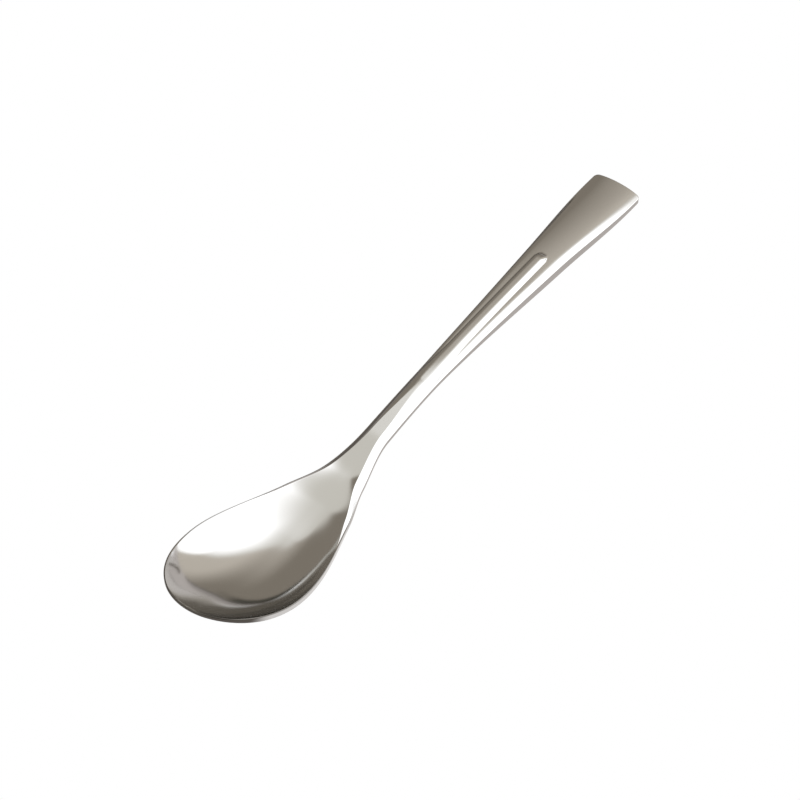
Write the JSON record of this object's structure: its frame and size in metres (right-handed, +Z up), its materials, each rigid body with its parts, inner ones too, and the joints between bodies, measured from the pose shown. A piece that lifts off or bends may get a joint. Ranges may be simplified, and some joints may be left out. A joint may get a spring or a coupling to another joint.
{
  "type": "coffee spoon",
  "caption": "Small one-piece metal spoon for coffee, with an egg-shaped bowl, a slim neck and a flat flaring handle with a raised rib along its middle.",
  "frame": {"origin": "middle of the spoon's box, on the table it lies on", "axes": "+X from the tip of the bowl to the end of the handle, +Y across the bowl, +Z up out of the bowl"},
  "size_m": [0.12, 0.0224, 0.0123],
  "materials": {
    "steel": "mirror-polished stainless steel with faint polishing lines"
  },
  "bodies": {
    "root": {"spoon": "steel"}
  },
  "joints": []
}
